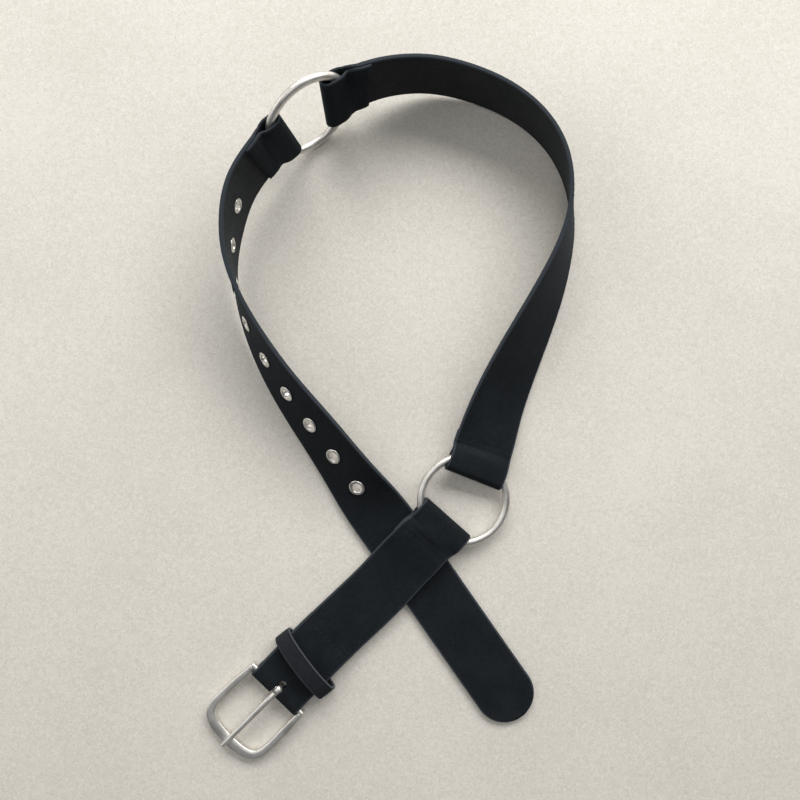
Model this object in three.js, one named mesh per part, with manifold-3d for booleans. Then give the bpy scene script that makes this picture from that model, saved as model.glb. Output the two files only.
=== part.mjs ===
// A ring belt: three nubuck straps joined by two round rings, with a heel-bar pin buckle, a keeper
// loop and nine eyelets. It lies on a flat surface at z = 0 in one open loop. Its two tails lie flat,
// front face up, and cross, and the loop between them stands on its lower edge, leaning outwards,
// where the upper ring lifts it. Millimetres, +Z up.

import * as THREE from 'three';
import { mergeVertices } from 'three/addons/utils/BufferGeometryUtils.js';
import Module from 'manifold-3d';

const wasm = await Module();
wasm.setup();

// Driving dimensions. The course tables below are measured from a datum inside the loop, and CENTRE
// is the middle of the laid-out belt from that datum, which becomes the origin.
const CENTRE = { x: -5.9, y: -13.2 };
const GAP = 0.3;
const STRAP = { width: 38, thickness: 2.8, step: 6 };
const FLAP = { thickness: 1.8, ringLength: 7.5, buckleLength: 40, step: 5 };
const RING = { inner: 50, wire: 5, steps: 48, sides: 12 };
const EYELET = { outer: 10.4, barrel: 7, hole: 6, first: 183.4, pitch: 24.4, count: 9, sides: 16 };
const EYELET_FLANGE = { proud: 0.7, backOuter: 9.4, backProud: 0.5, cutClearance: 0.45 };
const BUCKLE = { depth: 4, bar: 3.8, barLength: 46 };
const PRONG = { length: 49.7, wire: 3.8, tipWire: 2.8, loopWidth: 3.8, loopWall: 1.5, slotWidth: 5.6, slotReach: 8.2 };
const KEEPER = { width: 11.2, thickness: 2, at: 109.2, skew: -8.4, aside: -1.2 };

const FLAP_DEPTH = STRAP.thickness / 2 + GAP + FLAP.thickness / 2;
const STACK_AXIS = -FLAP_DEPTH / 2;

// Where the two rings lie. The heading is the direction of the ring's level diameter, and the lean is
// how far its plane is turned from upright for the upper ring and from level for the lower one.
const UPPER_RING = { x: -55.3, y: 171.9, z: 29.8, heading: 37, lean: 14 };
const LOWER_RING = { x: 40.5, y: -63.4, z: 7.2, heading: 150, lean: 6.3 };

// The course of each strap's centre line. at: distance along the strap; x, y: its place; foot: height
// of its lower edge; lean: degrees that it is turned up from flat, so 90 stands on edge.
const TIP_COURSE = [
  { at: 0, x: 77.7, y: -203.3, foot: 0, lean: 0 },
  { at: 90, x: 27.1, y: -131.0, foot: 0, lean: 0 },
  { at: 112, x: 14.4, y: -112.7, foot: 0, lean: 0 },
  { at: 128, x: 5.2, y: -99.5, foot: 0, lean: 0.2 },
  { at: 142, x: -2.8, y: -88.0, foot: 0, lean: 1.2 },
  { at: 158, x: -12.1, y: -74.9, foot: 0, lean: 7 },
  { at: 183, x: -26.5, y: -54.9, foot: 0, lean: 26 },
  { at: 225, x: -51.1, y: -20.6, foot: 0, lean: 44 },
  { at: 262, x: -72.5, y: 9.2, foot: 0.3, lean: 56 },
  { at: 294, x: -88.5, y: 37.2, foot: 2, lean: 67 },
  { at: 318, x: -97.6, y: 59.1, foot: 4, lean: 76.5 },
  { at: 343, x: -103.1, y: 83.1, foot: 6.2, lean: 87 },
  { at: 367, x: -102.1, y: 106.9, foot: 8.2, lean: 96.5 },
  { at: 392, x: -95.4, y: 130.3, foot: 9.4, lean: 102 },
  { at: 415, x: -82.7, y: 149.0, foot: 10.0, lean: 104 },
];
const MIDDLE_COURSE = [
  { at: 0, x: -24.6, y: 190.0, foot: 10.6, lean: 101 },
  { at: 20, x: -9.0, y: 196.0, foot: 7.6, lean: 99.5 },
  { at: 42, x: 13.0, y: 199.7, foot: 3.8, lean: 98.5 },
  { at: 66, x: 36.8, y: 197.1, foot: 1.3, lean: 97.5 },
  { at: 92, x: 61.8, y: 188.2, foot: 0.3, lean: 95.5 },
  { at: 119, x: 84.3, y: 172.8, foot: 0, lean: 91.5 },
  { at: 144, x: 99.3, y: 152.2, foot: 0, lean: 86 },
  { at: 173, x: 106.1, y: 123.6, foot: 0, lean: 77.5 },
  { at: 203, x: 102.7, y: 95.6, foot: 0, lean: 68 },
  { at: 232, x: 93.0, y: 67.7, foot: 0, lean: 55.5 },
  { at: 263, x: 80.3, y: 39.4, foot: 0, lean: 43 },
  { at: 297, x: 66.4, y: 8.6, foot: 0.1, lean: 29 },
  { at: 320, x: 58.7, y: -12.0, foot: 1.6, lean: 18 },
  { at: 331, x: 55.4, y: -22.4, foot: 3.2, lean: 11 },
  { at: 340, x: 52.7, y: -31.0, foot: 4.2, lean: 6.5 },
];
const BUCKLE_COURSE = [
  { at: 0, x: 15.5, y: -89.0, foot: 6.9, lean: 6 },
  { at: 8, x: 10.1, y: -95.0, foot: 6.8, lean: 4 },
  { at: 20, x: 2.0, y: -103.9, foot: 4.8, lean: 1 },
  { at: 38, x: -10.0, y: -117.3, foot: 3.4, lean: 0 },
  { at: 62, x: -27.1, y: -134.1, foot: 2.9, lean: 0 },
  { at: 84, x: -43.2, y: -149.2, foot: 3.5, lean: 0 },
  { at: 102, x: -56.2, y: -161.8, foot: 4.7, lean: 0 },
  { at: 116, x: -66.0, y: -171.9, foot: 4.7, lean: 0 },
  { at: 124.6, x: -72.0, y: -178.1, foot: 4.6, lean: 0 },
];

// The eye that a strap's end makes round a ring or bar. u: distance from the fold as a share of the
// eye's reach; half: half the distance between the middles of its two layers; skin: leather thickness.
const RING_EYE = [
  { u: 1.0, half: FLAP_DEPTH / 2, skin: 2.8 },
  { u: 0.91, half: 1.75, skin: 2.4 },
  { u: 0.8, half: 3.15, skin: 1.9 },
  { u: 0.65, half: 3.9, skin: 1.6 },
  { u: 0.46, half: 3.85, skin: 1.6 },
  { u: 0.22, half: 3.7, skin: 1.6 },
  { u: 0.07, half: 2.6, skin: 1.6 },
  { u: 0, half: 0, skin: 1.6 },
];
const BAR_EYE = [
  { u: 1.0, half: FLAP_DEPTH / 2, skin: 2.8 },
  { u: 0.8, half: 1.75, skin: 2.4 },
  { u: 0.56, half: 2.8, skin: 1.9 },
  { u: 0.27, half: 3.2, skin: 1.8 },
  { u: 0.07, half: 2.1, skin: 1.8 },
  { u: 0, half: 0, skin: 1.8 },
];
const BAR_EYE_REACH = 12.6;
const BAR_FROM_FOLD = 3.4;
const EYE_SETTLED = 0.35;

const rad = THREE.MathUtils.degToRad;

// Materials, one for each finish
const nubuck = new THREE.MeshStandardMaterial({ color: 0x1e2225, roughness: 0.9, metalness: 0 });
const keeperNubuck = new THREE.MeshStandardMaterial({ color: 0x212528, roughness: 0.85, metalness: 0 });
const satinMetal = new THREE.MeshStandardMaterial({ color: 0xb5afa5, roughness: 0.32, metalness: 1 });
const eyeletMetal = new THREE.MeshStandardMaterial({ color: 0xa39c91, roughness: 0.38, metalness: 1 });

// A natural cubic spline through one column of a table, as a function of the first column
function spline(rows, column) {
  const n = rows.length;
  const bend = new Array(n).fill(0);
  const work = new Array(n).fill(0);
  for (let i = 1; i < n - 1; i++) {
    const before = rows[i].at - rows[i - 1].at;
    const after = rows[i + 1].at - rows[i].at;
    const share = before / (before + after);
    const pivot = share * bend[i - 1] + 2;
    const rise = (rows[i + 1][column] - rows[i][column]) / after;
    const fall = (rows[i][column] - rows[i - 1][column]) / before;
    bend[i] = (share - 1) / pivot;
    work[i] = ((6 * (rise - fall)) / (before + after) - share * work[i - 1]) / pivot;
  }
  for (let i = n - 2; i >= 0; i--) bend[i] = bend[i] * (bend[i + 1] ?? 0) + work[i];
  bend[n - 1] = 0;
  return (at) => {
    let i = 0;
    while (i < n - 2 && at > rows[i + 1].at) i++;
    const span = rows[i + 1].at - rows[i].at;
    const b = (at - rows[i].at) / span;
    const a = 1 - b;
    const curve = ((a * a * a - a) * bend[i] + (b * b * b - b) * bend[i + 1]) * (span * span) / 6;
    return a * rows[i][column] + b * rows[i + 1][column] + curve;
  };
}

// A strap's course as a function that gives, at a distance along it, the strap's middle, the unit
// vector across it towards its raised edge, the direction of travel and the front face's normal
function course(rows) {
  const x = spline(rows, 'x');
  const y = spline(rows, 'y');
  const foot = spline(rows, 'foot');
  const lean = spline(rows, 'lean');
  const middle = (at) => {
    const turn = rad(Math.max(lean(at), 0));
    const rise = (STRAP.width / 2) * Math.sin(turn) + (STRAP.thickness / 2) * Math.hypot(Math.cos(turn), 0.1);
    return new THREE.Vector3(x(at), y(at), Math.max(foot(at), 0) + rise);
  };
  return (at) => {
    const along = middle(at + 0.5).sub(middle(at - 0.5)).normalize();
    const inward = new THREE.Vector3(along.y, -along.x, 0).normalize();
    const turn = rad(Math.max(lean(at), 0));
    const across = inward.multiplyScalar(Math.cos(turn)).add(new THREE.Vector3(0, 0, Math.sin(turn)));
    across.addScaledVector(along, -across.dot(along)).normalize();
    const front = across.clone().cross(along);
    return { centre: middle(at), across, along, front };
  };
}

// Evenly spaced distances from one to another, no further apart than a step
function spaced(from, to, step) {
  const count = Math.max(1, Math.ceil(Math.abs(to - from) / step));
  return Array.from({ length: count + 1 }, (_, i) => from + ((to - from) * i) / count);
}

// A flat ribbon carried along stations. Each station is a centre, the unit vector across the ribbon,
// a width and a thickness; the thickness stands square to the path. Closed ribbons join end to end.
function ribbon(stations, closed = false) {
  const count = stations.length;
  const positions = [];
  stations.forEach((station, i) => {
    const next = stations[closed ? (i + 1) % count : Math.min(i + 1, count - 1)];
    const last = stations[closed ? (i + count - 1) % count : Math.max(i - 1, 0)];
    const along = next.centre.clone().sub(last.centre);
    const normal = station.across.clone().cross(along).normalize();
    for (const [side, face] of [[-1, -1], [1, -1], [1, 1], [-1, 1]]) {
      const corner = station.centre.clone()
        .addScaledVector(station.across, (side * station.width) / 2)
        .addScaledVector(normal, (face * station.thickness) / 2);
      positions.push(corner.x, corner.y, corner.z);
    }
  });
  const index = [];
  const bands = closed ? count : count - 1;
  for (let i = 0; i < bands; i++) {
    for (let k = 0; k < 4; k++) {
      const a = i * 4 + k;
      const b = i * 4 + ((k + 1) % 4);
      const c = ((i + 1) % count) * 4 + ((k + 1) % 4);
      const d = ((i + 1) % count) * 4 + k;
      index.push(a, c, b, a, d, c);
    }
  }
  if (!closed) {
    const end = (count - 1) * 4;
    index.push(0, 1, 2, 0, 2, 3, end, end + 2, end + 1, end, end + 3, end + 2);
  }
  const geometry = new THREE.BufferGeometry();
  geometry.setAttribute('position', new THREE.Float32BufferAttribute(positions, 3));
  geometry.setIndex(index);
  return geometry;
}

// Geometry to solid and back, for cuts and joins
function toSolid(geometry) {
  const bare = geometry.clone();
  bare.deleteAttribute('normal');
  bare.deleteAttribute('uv');
  const merged = mergeVertices(bare, 1e-4);
  const vertProperties = new Float32Array(merged.attributes.position.array);
  const triVerts = new Uint32Array(merged.index.array);
  return new wasm.Manifold(new wasm.Mesh({ numProp: 3, vertProperties, triVerts }));
}

function toGeometry(solid) {
  const mesh = solid.getMesh();
  const geometry = new THREE.BufferGeometry();
  geometry.setAttribute('position', new THREE.Float32BufferAttribute(mesh.vertProperties, 3));
  geometry.setIndex(Array.from(mesh.triVerts));
  return geometry;
}

// A frame whose X, Y and Z lie along three given directions
function basis(xAxis, yAxis, zAxis, place) {
  return new THREE.Matrix4().makeBasis(xAxis, yAxis, zAxis).setPosition(place);
}

// The stations of an eye: out along the front layer, round the fold and back along the flap's layer.
// joint is the strap's frame where the eye starts and way is +1 at a strap's end and -1 at its start.
// fold is where the eye ends: the fold's outermost middle point, and the unit vectors out of the eye,
// across it and out of its front. The eye turns from the joint's frame to the fold's by EYE_SETTLED.
function eyeStations(joint, way, fold, rows) {
  const root = joint.centre.clone().addScaledVector(joint.front, STACK_AXIS);
  const reach = root.distanceTo(fold.tip);
  const outline = [
    ...rows.map((row) => new THREE.Vector3(row.u, row.half, row.skin)),
    ...rows.slice(0, -1).reverse().map((row) => new THREE.Vector3(row.u, -row.half, Math.min(row.skin, FLAP.thickness))),
  ];
  const curve = new THREE.CatmullRomCurve3(outline, false, 'centripetal');
  return curve.getPoints(2 * outline.length).map((point) => {
    const share = 1 - point.x;
    const turned = THREE.MathUtils.smoothstep(share, 0, EYE_SETTLED);
    const fromJoint = root.clone().addScaledVector(joint.along, share * reach * way);
    const fromFold = fold.tip.clone().addScaledVector(fold.out, -(1 - share) * reach);
    const front = joint.front.clone().lerp(fold.front, turned).normalize();
    const across = joint.across.clone().lerp(fold.across, turned).normalize();
    const centre = fromJoint.lerp(fromFold, turned).addScaledVector(front, point.y);
    return { centre, across, width: STRAP.width, thickness: point.z };
  });
}

// The stations of a flap, lying behind the strap from the eye's joint to its cut end
function flapStations(path, from, to) {
  return spaced(from, to, FLAP.step).slice(1).map((at) => {
    const frame = path(at);
    const centre = frame.centre.addScaledVector(frame.front, -FLAP_DEPTH);
    return { centre, across: frame.across, width: STRAP.width, thickness: FLAP.thickness };
  });
}

function bodyStations(path, distances) {
  return distances.map((at) => {
    const frame = path(at);
    return { centre: frame.centre, across: frame.across, width: STRAP.width, thickness: STRAP.thickness };
  });
}

// A ring's frame: X along its level diameter, Y across it in its plane and Z along its axis
function ringFrame(ring, upright) {
  const along = new THREE.Vector3(Math.cos(rad(ring.heading)), Math.sin(rad(ring.heading)), 0);
  const outward = new THREE.Vector3(-along.y, along.x, 0);
  const place = new THREE.Vector3(ring.x, ring.y, ring.z);
  if (upright) {
    const up = outward.multiplyScalar(Math.sin(rad(ring.lean)));
    up.z = Math.cos(rad(ring.lean));
    return basis(along, up, along.clone().cross(up), place);
  }
  const slope = along.clone().multiplyScalar(Math.cos(rad(ring.lean)));
  slope.z = Math.sin(rad(ring.lean));
  return basis(slope, outward, slope.clone().cross(outward), place);
}

const upperRing = ringFrame(UPPER_RING, true);
const lowerRing = ringFrame(LOWER_RING, false);

// A fold round a ring, for eyeStations: distance is that of the fold from the ring's centre, in the
// ring's plane, at an angle from its X axis. rise is how far the fold's middle is along the fold.
function ringFold(ring, joint, { angle, distance, rise }) {
  const [along, up, axis] = [0, 1, 2].map((column) => new THREE.Vector3().setFromMatrixColumn(ring, column));
  const away = along.clone().multiplyScalar(Math.cos(rad(angle))).addScaledVector(up, Math.sin(rad(angle)));
  const front = axis.clone().multiplyScalar(Math.sign(axis.dot(joint.front)));
  const across = away.clone().cross(axis);
  across.multiplyScalar(Math.sign(across.dot(joint.across)));
  const tip = new THREE.Vector3().setFromMatrixPosition(ring)
    .addScaledVector(away, distance)
    .addScaledVector(across, rise);
  return { tip, out: away.negate(), across, front };
}

function named(name, geometry, material) {
  const mesh = new THREE.Mesh(geometry, material);
  mesh.name = name;
  return mesh;
}

const belt = new THREE.Group();
belt.position.set(-CENTRE.x, -CENTRE.y, 0);

// The rings
const torus = new THREE.TorusGeometry((RING.inner + RING.wire) / 2, RING.wire / 2, RING.sides, RING.steps);
for (const [name, frame] of [['upper_ring', upperRing], ['lower_ring', lowerRing]]) {
  const ring = named(name, torus, satinMetal);
  ring.applyMatrix4(frame);
  belt.add(ring);
}

// Fold places round the rings
const FOLDS = {
  tipAtUpper: { angle: 184, distance: 14.8, rise: 0 },
  middleAtUpper: { angle: -9, distance: 12, rise: 0.4 },
  middleAtLower: { angle: -82, distance: 14.6, rise: 0 },
  buckleAtLower: { angle: 78, distance: 14.9, rise: 0 },
};

// The tip strap: a rounded free end, nine eyelet holes and an eye round the upper ring
function tipStrap() {
  const path = course(TIP_COURSE);
  const length = TIP_COURSE.at(-1).at;
  const radius = STRAP.width / 2;
  const round = [8, 22, 36, 50, 64, 78].map((angle) => ({
    at: radius * (1 - Math.cos(rad(angle))),
    width: STRAP.width * Math.sin(rad(angle)),
  }));
  const rounded = round.map(({ at, width }) => ({ ...bodyStations(path, [at])[0], width }));
  const body = bodyStations(path, spaced(radius, length, STRAP.step));
  const eye = eyeStations(path(length), 1, ringFold(upperRing, path(length), FOLDS.tipAtUpper), RING_EYE);
  const flap = flapStations(path, length, length - FLAP.ringLength);
  let solid = toSolid(ribbon([...rounded, ...body.slice(0, -1), ...eye, ...flap]));
  for (let i = 0; i < EYELET.count; i++) {
    const cutter = new THREE.CylinderGeometry(1, 1, 4 * STRAP.thickness, EYELET.sides);
    cutter.scale(EYELET.barrel / 2 + EYELET_FLANGE.cutClearance, 1, EYELET.barrel / 2 + EYELET_FLANGE.cutClearance);
    cutter.applyMatrix4(eyeletFrame(path, i));
    solid = solid.subtract(toSolid(cutter));
  }
  return toGeometry(solid);
}

// An eyelet's frame: Y along its axis, out of the strap's front face
function eyeletFrame(path, i) {
  const frame = path(EYELET.first + i * EYELET.pitch);
  return basis(frame.along, frame.front, frame.across, frame.centre);
}

// An eyelet: a turned barrel with a rounded front flange and a rolled back flange
function eyeletGeometry() {
  const face = STRAP.thickness / 2 + GAP;
  const hole = EYELET.hole / 2;
  const barrel = EYELET.barrel / 2;
  const outer = EYELET.outer / 2;
  const backOuter = EYELET_FLANGE.backOuter / 2;
  const profile = [
    [hole, -face - EYELET_FLANGE.backProud],
    [backOuter, -face - EYELET_FLANGE.backProud],
    [backOuter, -face],
    [barrel, -face],
    [barrel, face],
    [outer, face],
    [outer - 0.6, face + EYELET_FLANGE.proud],
    [hole + 0.9, face + EYELET_FLANGE.proud],
    [hole, face],
    [hole, -face - EYELET_FLANGE.backProud],
  ];
  return new THREE.LatheGeometry(profile.map(([r, z]) => new THREE.Vector2(r, z)), EYELET.sides);
}

belt.add(named('tip_strap', tipStrap(), nubuck));
const eyeletShape = eyeletGeometry();
for (let i = 0; i < EYELET.count; i++) {
  const eyelet = named(`eyelet_${i + 1}`, eyeletShape, eyeletMetal);
  eyelet.applyMatrix4(eyeletFrame(course(TIP_COURSE), i));
  belt.add(eyelet);
}

// The middle strap: an eye at each end
function middleStrap() {
  const path = course(MIDDLE_COURSE);
  const length = MIDDLE_COURSE.at(-1).at;
  const start = eyeStations(path(0), -1, ringFold(upperRing, path(0), FOLDS.middleAtUpper), RING_EYE);
  const end = eyeStations(path(length), 1, ringFold(lowerRing, path(length), FOLDS.middleAtLower), RING_EYE);
  return ribbon([
    ...flapStations(path, 0, FLAP.ringLength).reverse(),
    ...start.reverse(),
    ...bodyStations(path, spaced(0, length, STRAP.step)).slice(1, -1),
    ...end,
    ...flapStations(path, length, length - FLAP.ringLength),
  ]);
}

belt.add(named('middle_strap', middleStrap(), nubuck));

// The buckle's frame of reference: X across the strap, Y forwards and Z out of the front face, with
// its origin on the heel bar's axis
const bucklePath = course(BUCKLE_COURSE);
const buckleJoint = bucklePath(BUCKLE_COURSE.at(-1).at);
const barCentre = buckleJoint.centre.clone()
  .addScaledVector(buckleJoint.front, STACK_AXIS)
  .addScaledVector(buckleJoint.along, BAR_EYE_REACH - BAR_FROM_FOLD);
const BUCKLE_TURN = -1;
const BUCKLE_DROP = 2.3;
const buckleFrame = basis(buckleJoint.across, buckleJoint.along, buckleJoint.front.clone(), barCentre)
  .multiply(new THREE.Matrix4().makeRotationZ(rad(BUCKLE_TURN)));

// The buckle strap: an eye round the lower ring, and a long flap and a slotted eye round the heel bar
function buckleStrap() {
  const length = BUCKLE_COURSE.at(-1).at;
  const start = eyeStations(bucklePath(0), -1, ringFold(lowerRing, bucklePath(0), FOLDS.buckleAtLower), RING_EYE);
  const tip = barCentre.clone().addScaledVector(buckleJoint.along, BAR_FROM_FOLD);
  const barFold = { tip, out: buckleJoint.along, across: buckleJoint.across, front: buckleJoint.front };
  const end = eyeStations(buckleJoint, 1, barFold, BAR_EYE);
  const solid = toSolid(ribbon([
    ...flapStations(bucklePath, 0, FLAP.ringLength).reverse(),
    ...start.reverse(),
    ...bodyStations(bucklePath, spaced(0, length, STRAP.step)).slice(1, -1),
    ...end,
    ...flapStations(bucklePath, length, length - FLAP.buckleLength),
  ]));
  const slotLength = PRONG.slotReach + 2 * BAR_FROM_FOLD;
  const slot = new THREE.BoxGeometry(PRONG.slotWidth, slotLength, 6 * STRAP.thickness);
  slot.translate(0, slotLength / 2 - PRONG.slotReach, 0);
  slot.applyMatrix4(buckleFrame);
  return toGeometry(solid.subtract(toSolid(slot)));
}

belt.add(named('buckle_strap', buckleStrap(), nubuck));

// The keeper: a closed leather band round the strap and its flap. across, up: the middle of the band
// from the middle of the strap's width and from the surface that the belt lies on.
const KEEPER_SECTION = [
  { across: 0, up: 1.25 },
  { across: 10, up: 1.25 },
  { across: 21.3, up: 1.35 },
  { across: 23, up: 2.6 },
  { across: 23.2, up: 5.2 },
  { across: 21.6, up: 8.8 },
  { across: 14.5, up: 12.1 },
  { across: 7, up: 13.6 },
  { across: 0, up: 14 },
];

function keeperGeometry() {
  const frame = bucklePath(KEEPER.at);
  const along = frame.along.clone().setZ(0).normalize().applyAxisAngle(new THREE.Vector3(0, 0, 1), rad(KEEPER.skew));
  const across = new THREE.Vector3(along.y, -along.x, 0);
  const mirrored = KEEPER_SECTION.slice(1, -1).reverse().map((row) => ({ across: -row.across, up: row.up }));
  const points = [...KEEPER_SECTION, ...mirrored].map((row) => new THREE.Vector3(row.across, row.up, 0));
  const curve = new THREE.CatmullRomCurve3(points, true, 'centripetal');
  const stations = curve.getPoints(40).slice(0, -1).map((point) => {
    const centre = new THREE.Vector3(frame.centre.x, frame.centre.y, point.y)
      .addScaledVector(across, point.x + KEEPER.aside);
    return { centre, across: along, width: KEEPER.width, thickness: KEEPER.thickness };
  });
  return ribbon(stations, true);
}

belt.add(named('keeper', keeperGeometry(), keeperNubuck));

// The buckle frame, one solid: a bow of flat wire from one leg's end round the front to the other,
// and the heel bar through both legs. Rows give the right half of the bow's middle line and its width.
const BOW = [
  { x: 0, y: 45.7, width: 7.3 },
  { x: 6, y: 45.5, width: 7.3 },
  { x: 13.5, y: 44.3, width: 7 },
  { x: 19.2, y: 41.2, width: 6.2 },
  { x: 21.9, y: 35.5, width: 5.5 },
  { x: 22.4, y: 28, width: 5.1 },
  { x: 22.1, y: 16, width: 5.1 },
  { x: 21.5, y: 4, width: 4.3 },
  { x: 21.4, y: -0.4, width: 4 },
];

function frameGeometry() {
  const half = BOW.slice(1).reverse().map((row) => new THREE.Vector3(-row.x, row.y, row.width));
  const rows = [...half, ...BOW.map((row) => new THREE.Vector3(row.x, row.y, row.width))];
  const curve = new THREE.CatmullRomCurve3(rows, false, 'centripetal');
  const stations = curve.getPoints(56);
  const section = [[-1, -0.45], [-0.6, -1], [0.6, -1], [1, -0.45], [1, 0.3], [0.45, 1], [-0.6, 1], [-1, 0.5]];
  const positions = [];
  stations.forEach((point, i) => {
    const next = stations[Math.min(i + 1, stations.length - 1)];
    const last = stations[Math.max(i - 1, 0)];
    const along = new THREE.Vector3(next.x - last.x, next.y - last.y, 0).normalize();
    const inward = new THREE.Vector3(along.y, -along.x, 0);
    for (const [side, face] of section) {
      const corner = new THREE.Vector3(point.x, point.y, (face * BUCKLE.depth) / 2)
        .addScaledVector(inward, (side * point.z) / 2);
      positions.push(corner.x, corner.y, corner.z);
    }
  });
  const sides = section.length;
  const index = [];
  for (let i = 0; i < stations.length - 1; i++) {
    for (let k = 0; k < sides; k++) {
      const a = i * sides + k;
      const b = i * sides + ((k + 1) % sides);
      index.push(a, b + sides, b, a, a + sides, b + sides);
    }
  }
  const end = (stations.length - 1) * sides;
  for (let k = 1; k < sides - 1; k++) index.push(0, k, k + 1, end, end + k + 1, end + k);
  const bow = new THREE.BufferGeometry();
  bow.setAttribute('position', new THREE.Float32BufferAttribute(positions, 3));
  bow.setIndex(index);
  const bar = new THREE.CylinderGeometry(BUCKLE.bar / 2, BUCKLE.bar / 2, BUCKLE.barLength, 14);
  bar.rotateZ(Math.PI / 2);
  return toGeometry(toSolid(bow).add(toSolid(bar)));
}

const buckle = new THREE.Group();
buckle.applyMatrix4(buckleFrame.clone().multiply(new THREE.Matrix4().makeRotationX(rad(-BUCKLE_DROP))));
buckle.add(named('buckle_frame', frameGeometry(), satinMetal));
belt.add(buckle);

// The prong: a loop round the heel bar and a tapering wire that rests on the frame's front. The rows
// give its middle line and its thickness in the strap's frame of reference at the bar. It sits a
// little aside of the bar's middle.
const PRONG_TURN = 0.3;
const PRONG_ASIDE = 0.35;
const PRONG_LINE = [
  { y: 2.6, z: 1.6, wire: 3.2 },
  { y: 6.5, z: 2.0, wire: PRONG.wire },
  { y: 14, z: 2.1, wire: PRONG.wire },
  { y: 30, z: 2.2, wire: 3.5 },
  { y: 44, z: 2.1, wire: 3.1 },
  { y: PRONG.length, z: 1.6, wire: PRONG.tipWire },
];

function prongGeometry() {
  const sides = 10;
  const line = PRONG_LINE.map((row) => new THREE.Vector3(row.y, row.z, row.wire));
  const stations = new THREE.CatmullRomCurve3(line, false, 'centripetal').getPoints(20);
  const last = stations.at(-1);
  stations.push(new THREE.Vector3(last.x + 0.8, last.y - 0.15, last.z * 0.45));
  const positions = [];
  stations.forEach((point) => {
    for (let k = 0; k < sides; k++) {
      const angle = (2 * Math.PI * k) / sides;
      positions.push((Math.cos(angle) * point.z) / 2, point.x, point.y + (Math.sin(angle) * point.z) / 2);
    }
  });
  const index = [];
  for (let i = 0; i < stations.length - 1; i++) {
    for (let k = 0; k < sides; k++) {
      const a = i * sides + k;
      const b = i * sides + ((k + 1) % sides);
      index.push(a, b + sides, b, a, a + sides, b + sides);
    }
  }
  const end = (stations.length - 1) * sides;
  for (let k = 1; k < sides - 1; k++) index.push(0, k, k + 1, end, end + k + 1, end + k);
  const shaft = new THREE.BufferGeometry();
  shaft.setAttribute('position', new THREE.Float32BufferAttribute(positions, 3));
  shaft.setIndex(index);
  const inner = BUCKLE.bar / 2 + GAP;
  const outer = inner + PRONG.loopWall;
  const half = PRONG.loopWidth / 2;
  const section = [[inner, -half], [outer, -half], [outer, half], [inner, half], [inner, -half]];
  const loop = new THREE.LatheGeometry(section.map(([r, z]) => new THREE.Vector2(r, z)), 20);
  loop.rotateZ(Math.PI / 2);
  const bore = new THREE.CylinderGeometry(inner, inner, 4 * half, 20);
  bore.rotateZ(Math.PI / 2);
  return toGeometry(toSolid(loop).add(toSolid(shaft)).subtract(toSolid(bore)));
}

const prong = named('buckle_prong', prongGeometry(), satinMetal);
prong.applyMatrix4(new THREE.Matrix4().makeTranslation(-PRONG_ASIDE, 0, 0));
prong.applyMatrix4(buckleFrame.clone().multiply(new THREE.Matrix4().makeRotationZ(rad(PRONG_TURN))));
belt.add(prong);

export default belt;
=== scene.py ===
"""Looks of a black nubuck ring belt, laid out on a pale floor and seen from straight above.

Lengths in the tables and in the shape functions are millimetres in the belt's own layout, and
every mesh is written in metres. Each piece is a surface worked out over a grid of parameters.
"""

import math

import bmesh
import bpy
import numpy as np
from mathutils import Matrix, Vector


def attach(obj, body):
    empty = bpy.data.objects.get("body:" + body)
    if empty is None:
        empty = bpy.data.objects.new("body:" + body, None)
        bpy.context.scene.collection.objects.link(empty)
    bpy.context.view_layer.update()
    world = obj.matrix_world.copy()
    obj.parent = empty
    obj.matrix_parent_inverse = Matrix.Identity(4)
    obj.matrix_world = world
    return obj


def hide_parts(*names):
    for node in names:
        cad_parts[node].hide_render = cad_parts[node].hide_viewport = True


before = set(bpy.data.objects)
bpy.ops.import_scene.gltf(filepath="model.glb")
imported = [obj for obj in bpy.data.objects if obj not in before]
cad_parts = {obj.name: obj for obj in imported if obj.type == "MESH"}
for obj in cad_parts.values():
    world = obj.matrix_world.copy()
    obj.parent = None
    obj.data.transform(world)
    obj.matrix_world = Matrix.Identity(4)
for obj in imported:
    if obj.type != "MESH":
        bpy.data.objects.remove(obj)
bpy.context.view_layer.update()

# Sizes, as in the solids
CENTRE = (-5.9, -13.2)
GAP = 0.3
STRAP_WIDTH = 38.0
STRAP_SKIN = 2.8
FLAP_SKIN = 1.8
FLAP_DEPTH = STRAP_SKIN / 2 + GAP + FLAP_SKIN / 2
STACK_AXIS = -FLAP_DEPTH / 2
RING_FLAP = 7.5
BUCKLE_FLAP = 40.0
EYE_SETTLED = 0.35
BAR_EYE_REACH = 12.6
BAR_FROM_FOLD = 3.4
RING_RADIUS = 27.5
RING_WIRE = 2.5
EYELET_FIRST = 183.4
EYELET_PITCH = 24.4
EYELET_COUNT = 9

# Finish of the leather: the corner's radius and its limit as a share of half the skin, the stitch
# lines' places and depths, and how far a flap's end is pared
CORNER_ROUND = 0.75
CORNER_LIMIT = 0.8
STITCH_IN = 2.6
STITCH_PITCH = 3.5
STITCH_SUNK = 0.06
LINE_SPREAD = 0.55
SEAM_SPREAD = 0.8
SEAM_PRESS = 1.6
PARED_LENGTH = 3.0
PARED_SHARE = 0.62

UPPER_RING = dict(place=(-55.3, 171.9, 29.8), heading=37.0, lean=14.0)
LOWER_RING = dict(place=(40.5, -63.4, 7.2), heading=150.0, lean=6.3)

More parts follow.
